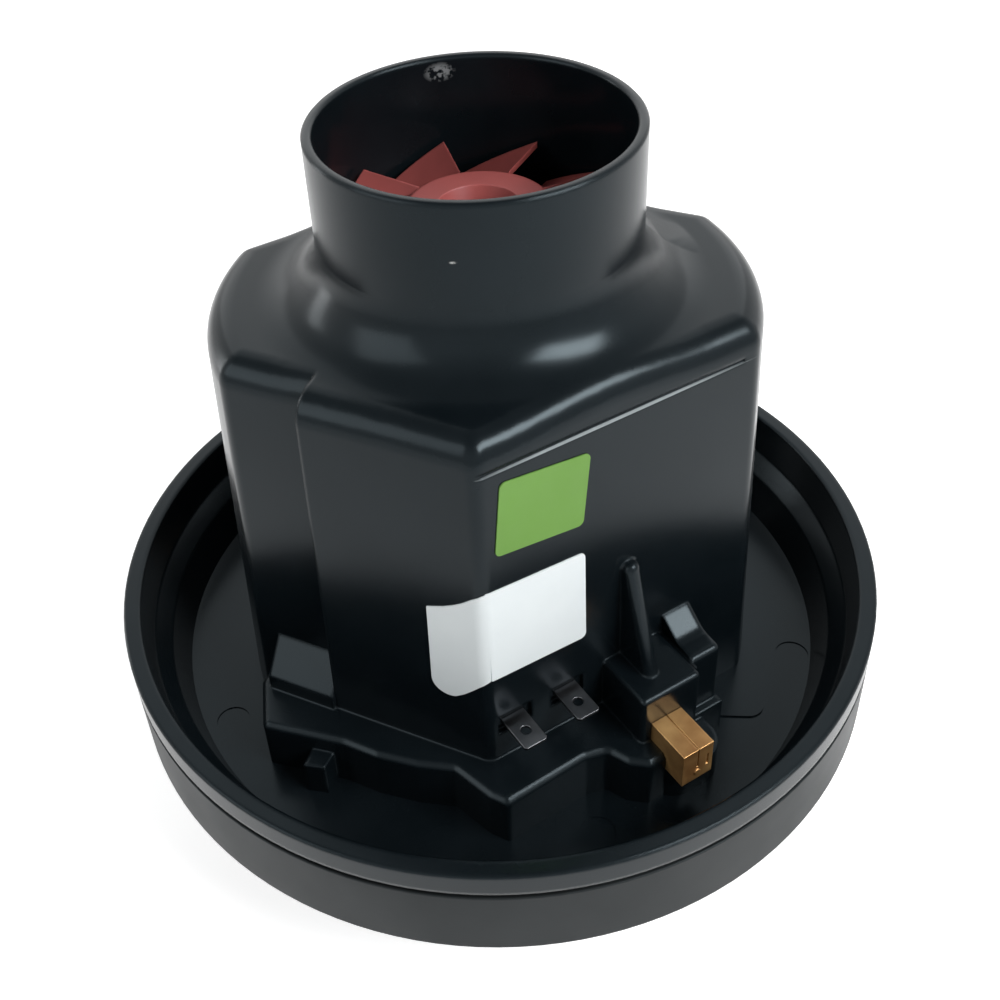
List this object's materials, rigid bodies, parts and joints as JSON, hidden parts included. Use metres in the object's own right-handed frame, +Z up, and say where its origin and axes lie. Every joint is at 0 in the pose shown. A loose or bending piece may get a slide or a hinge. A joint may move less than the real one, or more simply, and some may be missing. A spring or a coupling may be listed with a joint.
{
  "type": "vacuum motor",
  "caption": "Through-bored vacuum motor unit: cooling chimney with axial fan, flat-sided body with brush blocks and blade terminals, round pan rim, and a closed working fan case below.",
  "frame": {"origin": "on the motor axis, in the plane of the fan case's flat underside that the unit rests on", "axes": "+Z up along the motor axis to the chimney, -Y towards the front wall with the two terminals"},
  "size_m": [0.204, 0.204, 0.1911],
  "materials": {
    "black_plastic": "glossy moulded black thermoplastic",
    "shell_plastic": "satin moulded dark grey thermoplastic",
    "seal_rubber": "matt black rubber",
    "pressed_steel": "pressed zinc-plated steel",
    "screw_steel": "zinc-plated steel",
    "bearing_steel": "ground bearing steel",
    "spring_steel": "drawn spring steel wire",
    "terminal_steel": "dull tin-plated steel strip",
    "sheet_stack": "varnished electrical steel sheets",
    "copper_wire": "enamelled copper",
    "brass_sheet": "bare folded brass sheet",
    "cast_aluminium": "die-cast aluminium",
    "wheel_aluminium": "pressed bare aluminium sheet",
    "carbon": "pressed carbon graphite",
    "red_plastic": "satin red moulded plastic",
    "green_film": "satin green label film",
    "white_film": "satin white label film"
  },
  "bodies": {
    "housing": {"motor_housing": "black_plastic", "chimney": "black_plastic", "rim_pan": "black_plastic", "rim_seal": "seal_rubber", "lower_shell": "shell_plastic", "fan_bracket": "pressed_steel", "bracket_screws": "screw_steel", "diffuser": "shell_plastic", "fan_cover": "pressed_steel", "stator_core": "sheet_stack", "field_coil_right": "copper_wire", "field_coil_left": "copper_wire", "upper_bridge": "cast_aluminium", "bridge_screws": "screw_steel", "upper_bearing": "bearing_steel", "lower_bearing": "bearing_steel", "bearing_spring": "bearing_steel", "brush_holder_front": "brass_sheet", "brush_holder_rear": "brass_sheet", "brush_spring_front": "spring_steel", "brush_spring_rear": "spring_steel", "terminal_left": "terminal_steel", "terminal_right": "terminal_steel", "green_label": "green_film", "white_label": "white_film"},
    "rotor": {"shaft": "bearing_steel", "armature_core": "sheet_stack", "armature_winding": "copper_wire", "commutator": "copper_wire", "cooling_fan": "red_plastic", "fan_nut": "screw_steel", "impeller": "wheel_aluminium", "impeller_spacer": "bearing_steel", "impeller_nut": "screw_steel"},
    "front_brush": {"brush_front": "carbon"},
    "rear_brush": {"brush_rear": "carbon"}
  },
  "joints": [
    {"name": "rotor_spin", "type": "hinge", "parent": "housing", "child": "rotor", "pos_m": [0, 0, 0.1], "axis": [0, 0, 1], "continuous": true},
    {"name": "front_brush_slide", "type": "slide", "parent": "housing", "child": "front_brush", "axis": [0, -1, 0], "range_m": [0, 0.006], "stiffness_N_per_m": 250, "springref_m": -0.01, "deforming": ["brush_spring_front"]},
    {"name": "rear_brush_slide", "type": "slide", "parent": "housing", "child": "rear_brush", "axis": [0, 1, 0], "range_m": [0, 0.006], "stiffness_N_per_m": 250, "springref_m": -0.01, "deforming": ["brush_spring_rear"]}
  ]
}
